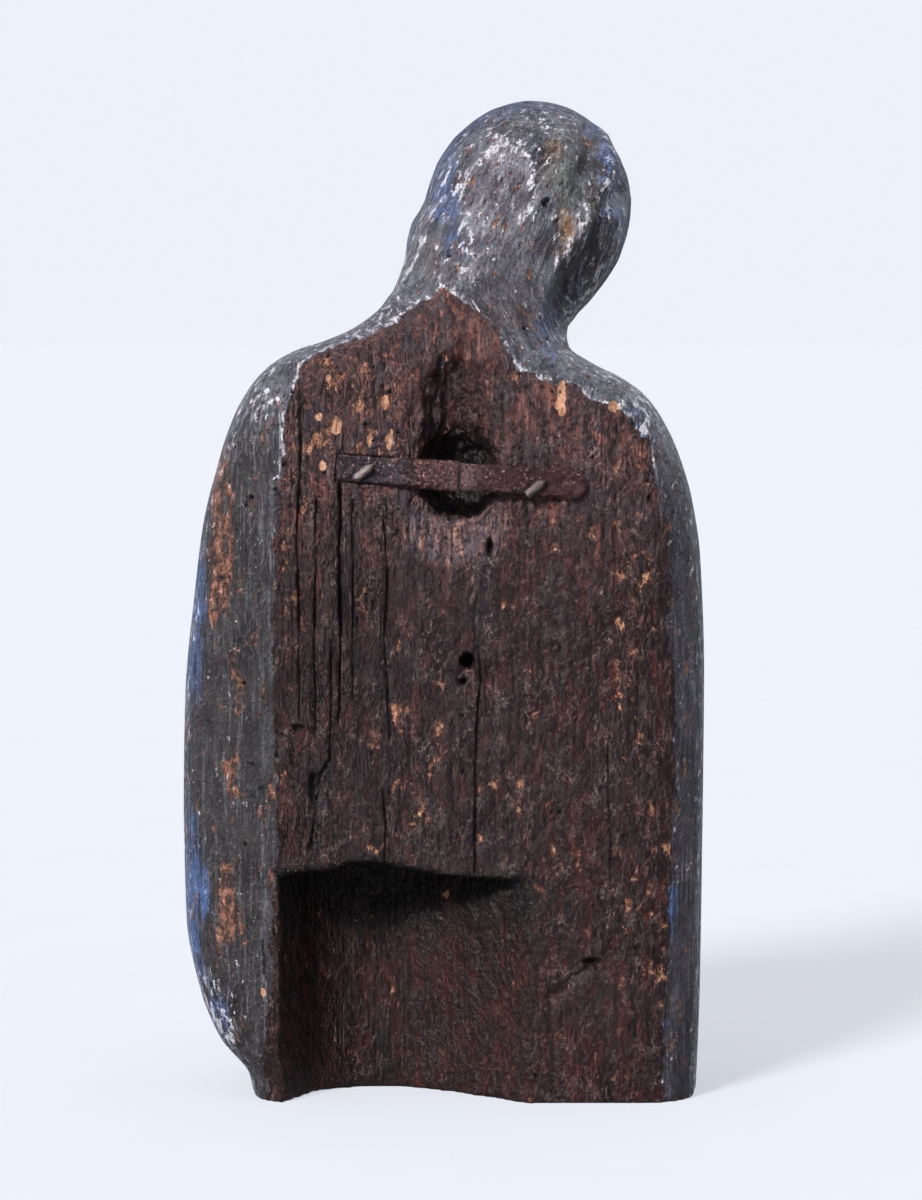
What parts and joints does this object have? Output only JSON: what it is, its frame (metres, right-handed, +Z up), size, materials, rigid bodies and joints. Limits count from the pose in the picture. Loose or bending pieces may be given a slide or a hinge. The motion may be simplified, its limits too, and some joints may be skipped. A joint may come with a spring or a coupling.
{
  "type": "polychrome mourning figure",
  "caption": "Half-length carved wooden mourning figure with bowed veiled head, flat hewn back, iron hanging strap and a recess cut in the lower back.",
  "frame": {"origin": "centre of the bounding box's underside, on the surface the figure stands on", "axes": "+Z up, the flat back faces +Y and the face and hands -Y, +X is the figure's own left"},
  "size_m": [0.2363, 0.1375, 0.4496],
  "materials": {
    "carved_wood": "old softwood, bare and worm-eaten on the back, worn blue, red, white and flesh paint elsewhere",
    "wrought_iron": "forged iron, dark brown rust"
  },
  "bodies": {
    "root": {"mourning_figure": "carved_wood", "hanging_strap": "wrought_iron", "strap_nail_left": "wrought_iron", "strap_nail_right": "wrought_iron"}
  },
  "joints": []
}
